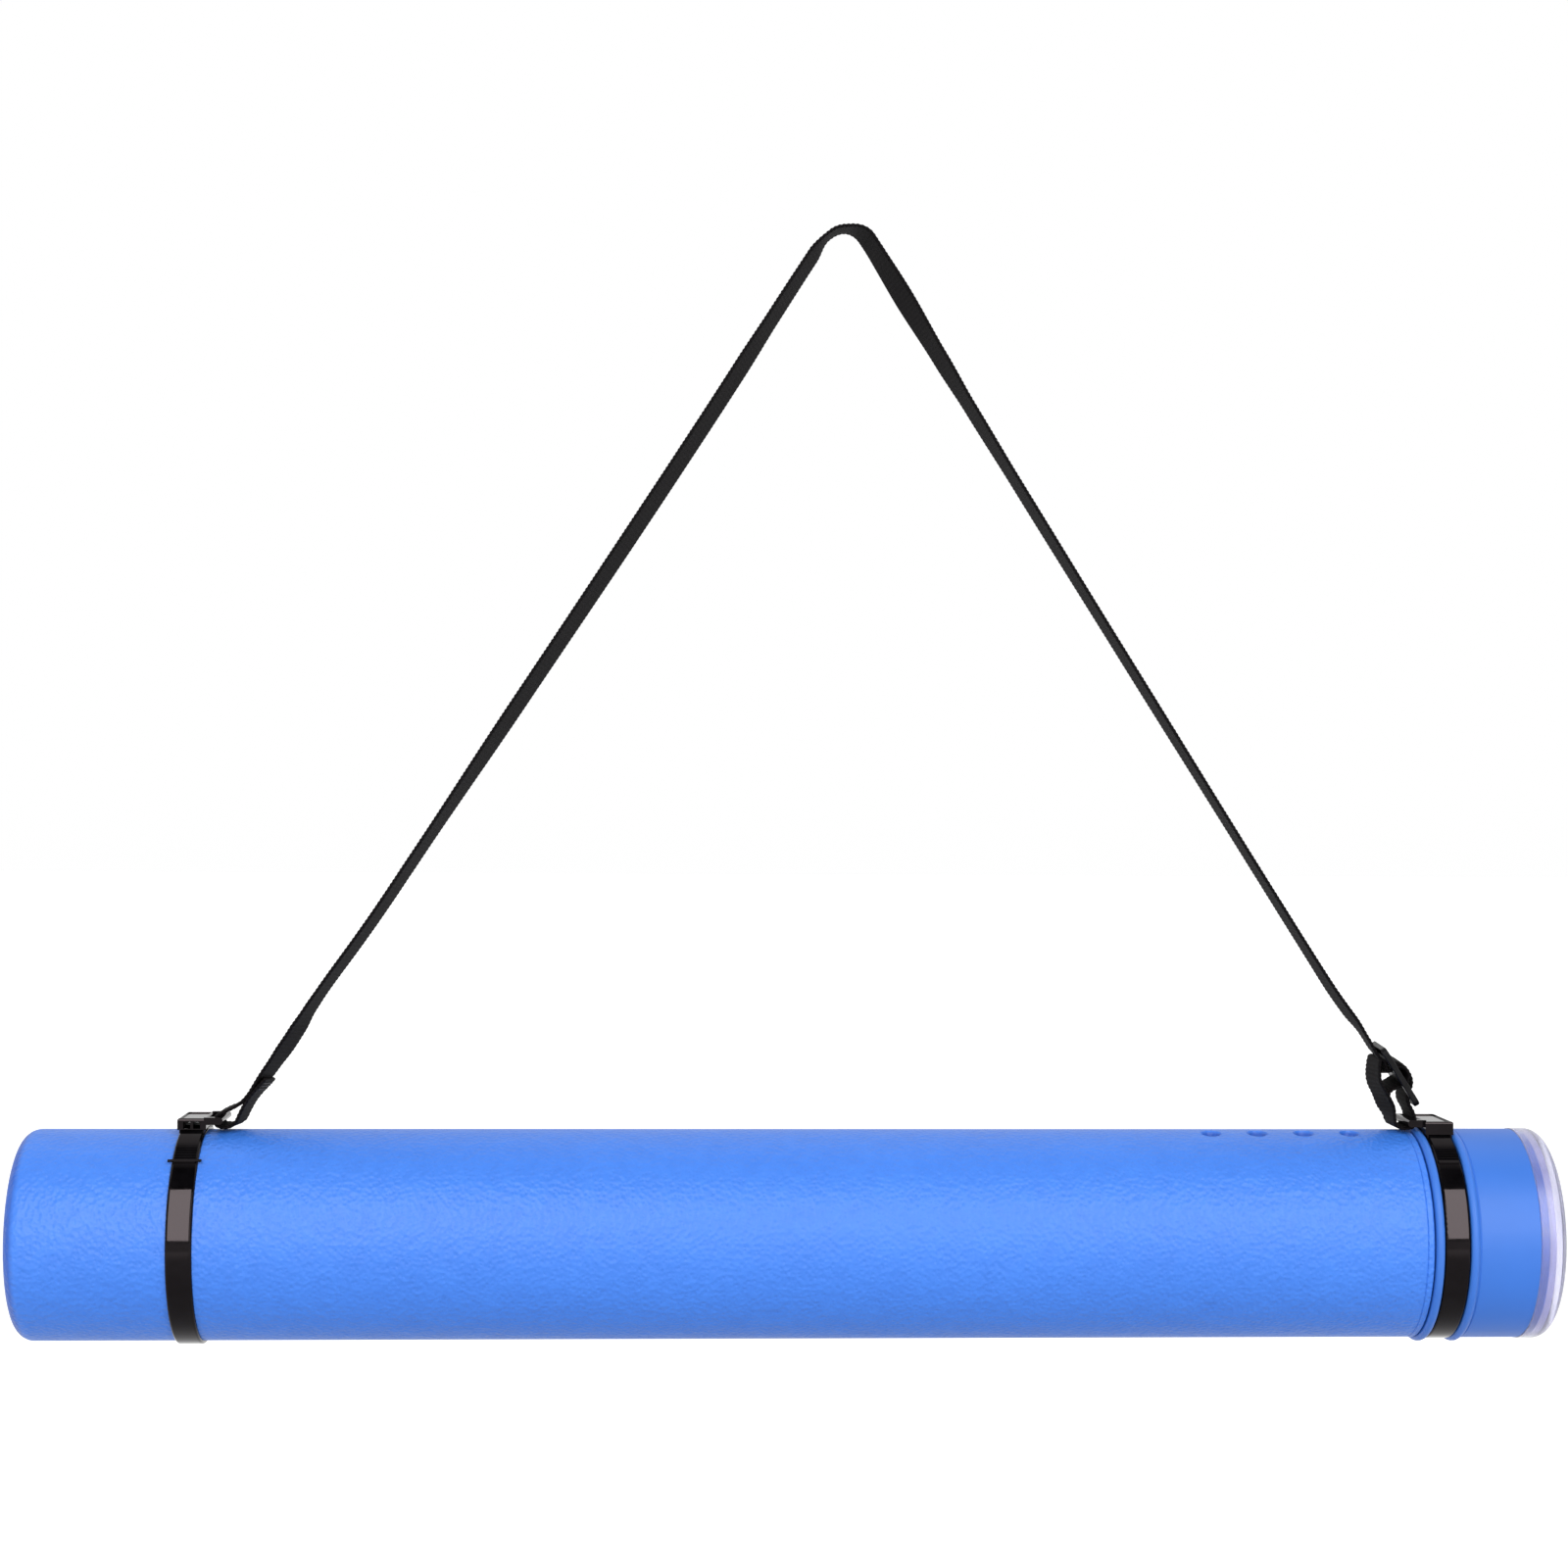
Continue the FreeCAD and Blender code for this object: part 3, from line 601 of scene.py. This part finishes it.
def sewn_rows(name, ribbon, backs, side):
    """Rows of stitches across a ply's face, at distances in metres back from its end."""
    verts = []
    faces = []
    for back in backs:
        steps = STITCH_COUNT * STITCH_STEPS
        for i in range(steps + 1):
            u = STITCH_REACH * (2 * i / steps - 1)
            centre = ribbon.at(ribbon.length - back, u, side)
            k = ribbon.index(ribbon.length - back)
            along = ribbon.out[k].cross(ribbon.across[k])
            lift = THREAD_R * (STITCH_SINK + STITCH_ARCH * abs(math.sin(math.pi * i / STITCH_STEPS)))
            for j in range(THREAD_SIDES):
                angle = 2 * math.pi * j / THREAD_SIDES
                offset = along * math.cos(angle) + ribbon.out[k] * side * math.sin(angle)
                verts.append(centre + ribbon.out[k] * side * lift + offset * THREAD_R)
        first = len(verts) - (steps + 1) * THREAD_SIDES
        for i in range(steps):
            for j in range(THREAD_SIDES):
                a = first + i * THREAD_SIDES + j
                b = first + i * THREAD_SIDES + (j + 1) % THREAD_SIDES
                faces.append((a, b, b + THREAD_SIDES, a + THREAD_SIDES))
        faces.append(tuple(range(first, first + THREAD_SIDES))[::-1])
        faces.append(tuple(range(len(verts) - THREAD_SIDES, len(verts))))
    return piece(name, verts, faces, THREAD)


left_stitches = sewn_rows("left_stitches", left_ribbon, (0.0020, 0.0036, 0.0052), -1)
right_stitches = sewn_rows("right_stitches", right_ribbon, (0.0009, 0.0021, 0.0033), 1)

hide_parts("webbing_strap")
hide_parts("webbing_left_fold")
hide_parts("webbing_right_fold")
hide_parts("stitching_left")
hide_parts("stitching_right")
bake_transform(strap)
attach(left_fold, "outer")
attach(left_stitches, "outer")
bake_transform(right_fold)
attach(right_stitches, "adjuster")


# ---- stage and light ----------------------------------------------------------------------------------

FLOOR_DROP = 0.25
FLOOR_Z = cad_box[0][2] - FLOOR_DROP
FLOOR_REACH = 14.0
# the floor's own light: none within the first distance of this point, in metres, and all of it past the
# second
GLOW_FROM = (0.0, -0.5, FLOOR_Z)
GLOW_DISTANCES = (0.6, 1.0)
GLOW = 0.7


def floor_paper():
    """White paper with a painted shadow round the object, where it doesn't glow, and a painted glow of
    its own further out.
    """
    s = Shader("floor_paper", (0.55, 0.55, 0.55), 0.9, Specular_IOR_Level=0.1, Emission_Strength=1.0)
    away = s.node("ShaderNodeVectorMath", operation="DISTANCE")
    away.inputs[1].default_value = GLOW_FROM
    s.links.new(s.where, away.inputs[0])
    # painted light: the paper glows by itself past the first distance, so the dimmer pool nearer the
    # object is a painted shadow
    glow = s.fit(away.outputs["Value"], 0.0, GLOW, *GLOW_DISTANCES)
    s.links.new(glow, s.bsdf.inputs["Emission Color"])
    s.rough(s.noise(3.0, 3.0), 0.86, 0.94)
    return s.mat


FLOOR_CORNERS = ((-1, -1), (1, -1), (1, 1), (-1, 1))
floor = piece(
    "floor",
    [Vector((x * FLOOR_REACH, y * FLOOR_REACH, FLOOR_Z)) for x, y in FLOOR_CORNERS],
    [(0, 1, 2, 3)],
    floor_paper(),
)

# two upright strip lamps above and in front of the tube
KEY_ELEVATION = math.radians(29.0)
KEY_DISTANCE = 1.6
KEY_SIZE = (0.28, 1.62)
KEY_RADIANCE = 11.0
KEY_PLACES = (("strip_left", -0.54), ("strip_right", 0.72))


def area_light(name, at, towards, size, radiance):
    """A rectangular lamp of an even radiance, which the camera doesn't see."""
    data = bpy.data.lights.new(name, "AREA")
    data.shape = "RECTANGLE"
    data.size, data.size_y = size
    data.energy = radiance * math.pi * size[0] * size[1]
    lamp = bpy.data.objects.new(name, data)
    bpy.context.scene.collection.objects.link(lamp)
    facing = (towards - at).to_track_quat("-Z", "Y").to_matrix().to_4x4()
    lamp.matrix_world = Matrix.Translation(at) @ facing
    lamp.visible_camera = False


for name, x in KEY_PLACES:
    aim = Vector((x, 0.0, TUBE_Z))
    back = Vector((0.0, -math.cos(KEY_ELEVATION), math.sin(KEY_ELEVATION)))
    area_light(name, aim + back * KEY_DISTANCE, aim, KEY_SIZE, KEY_RADIANCE)

# the sky's brightness by its height in degrees: 0 is the horizon in front of the tube, 90 straight up and
# 180 the horizon behind it; the dark band stands for a flag over the tube
SKY = (
    (-180, 1.0),
    (0, 0.75),
    (50, 0.80),
    (58, 0.02),
    (82, 0.02),
    (92, 1.15),
    (130, 1.15),
    (150, 1.0),
    (180, 1.0),
)
# toward the two sides the sky turns even: by how far a direction points along the X axis, and how bright
SIDE_FROM = 0.75
SIDE_FULL = 0.92
SIDE_BRIGHTNESS = 0.95


def grey(brightness):
    return (*same(brightness), 1.0)


def studio_sky():
    """The world: a soft sky in bands across the tube."""
    world = bpy.data.worlds.new("studio")
    world.use_nodes = True
    nodes = world.node_tree.nodes
    links = world.node_tree.links
    parts = nodes.new("ShaderNodeSeparateXYZ")
    links.new(nodes.new("ShaderNodeTexCoord").outputs["Generated"], parts.inputs[0])
    forward = nodes.new("ShaderNodeMath")
    forward.operation = "MULTIPLY"
    forward.inputs[1].default_value = -1.0
    links.new(parts.outputs["Y"], forward.inputs[0])
    height = nodes.new("ShaderNodeMath")
    height.operation = "ARCTAN2"
    links.new(parts.outputs["Z"], height.inputs[0])
    links.new(forward.outputs[0], height.inputs[1])
    share = nodes.new("ShaderNodeMapRange")
    share.inputs["From Min"].default_value = -math.pi
    share.inputs["From Max"].default_value = math.pi
    links.new(height.outputs[0], share.inputs["Value"])
    ramp = nodes.new("ShaderNodeValToRGB")
    links.new(share.outputs["Result"], ramp.inputs["Fac"])
    elements = ramp.color_ramp.elements
    while len(elements) > 1:
        elements.remove(elements[-1])
    for i, (degrees, brightness) in enumerate(SKY):
        place = (degrees + 180.0) / 360.0
        element = elements.new(place) if i else elements[0]
        element.position = place
        element.color = grey(brightness)
    bands = nodes["Background"]
    links.new(ramp.outputs["Color"], bands.inputs["Color"])
    sideways = nodes.new("ShaderNodeMath")
    sideways.operation = "ABSOLUTE"
    links.new(parts.outputs["X"], sideways.inputs[0])
    side_share = nodes.new("ShaderNodeMapRange")
    side_share.inputs["From Min"].default_value = SIDE_FROM
    side_share.inputs["From Max"].default_value = SIDE_FULL
    links.new(sideways.outputs[0], side_share.inputs["Value"])
    sides = nodes.new("ShaderNodeBackground")
    sides.inputs["Color"].default_value = grey(SIDE_BRIGHTNESS)
    joined = nodes.new("ShaderNodeMixShader")
    for made, socket in zip((side_share, bands, sides), joined.inputs):
        links.new(made.outputs[0], socket)
    links.new(joined.outputs[0], nodes["World Output"].inputs["Surface"])
    return world


bpy.context.scene.world = studio_sky()
bpy.context.scene.view_settings.view_transform = "Standard"
bpy.context.scene.view_settings.look = "None"
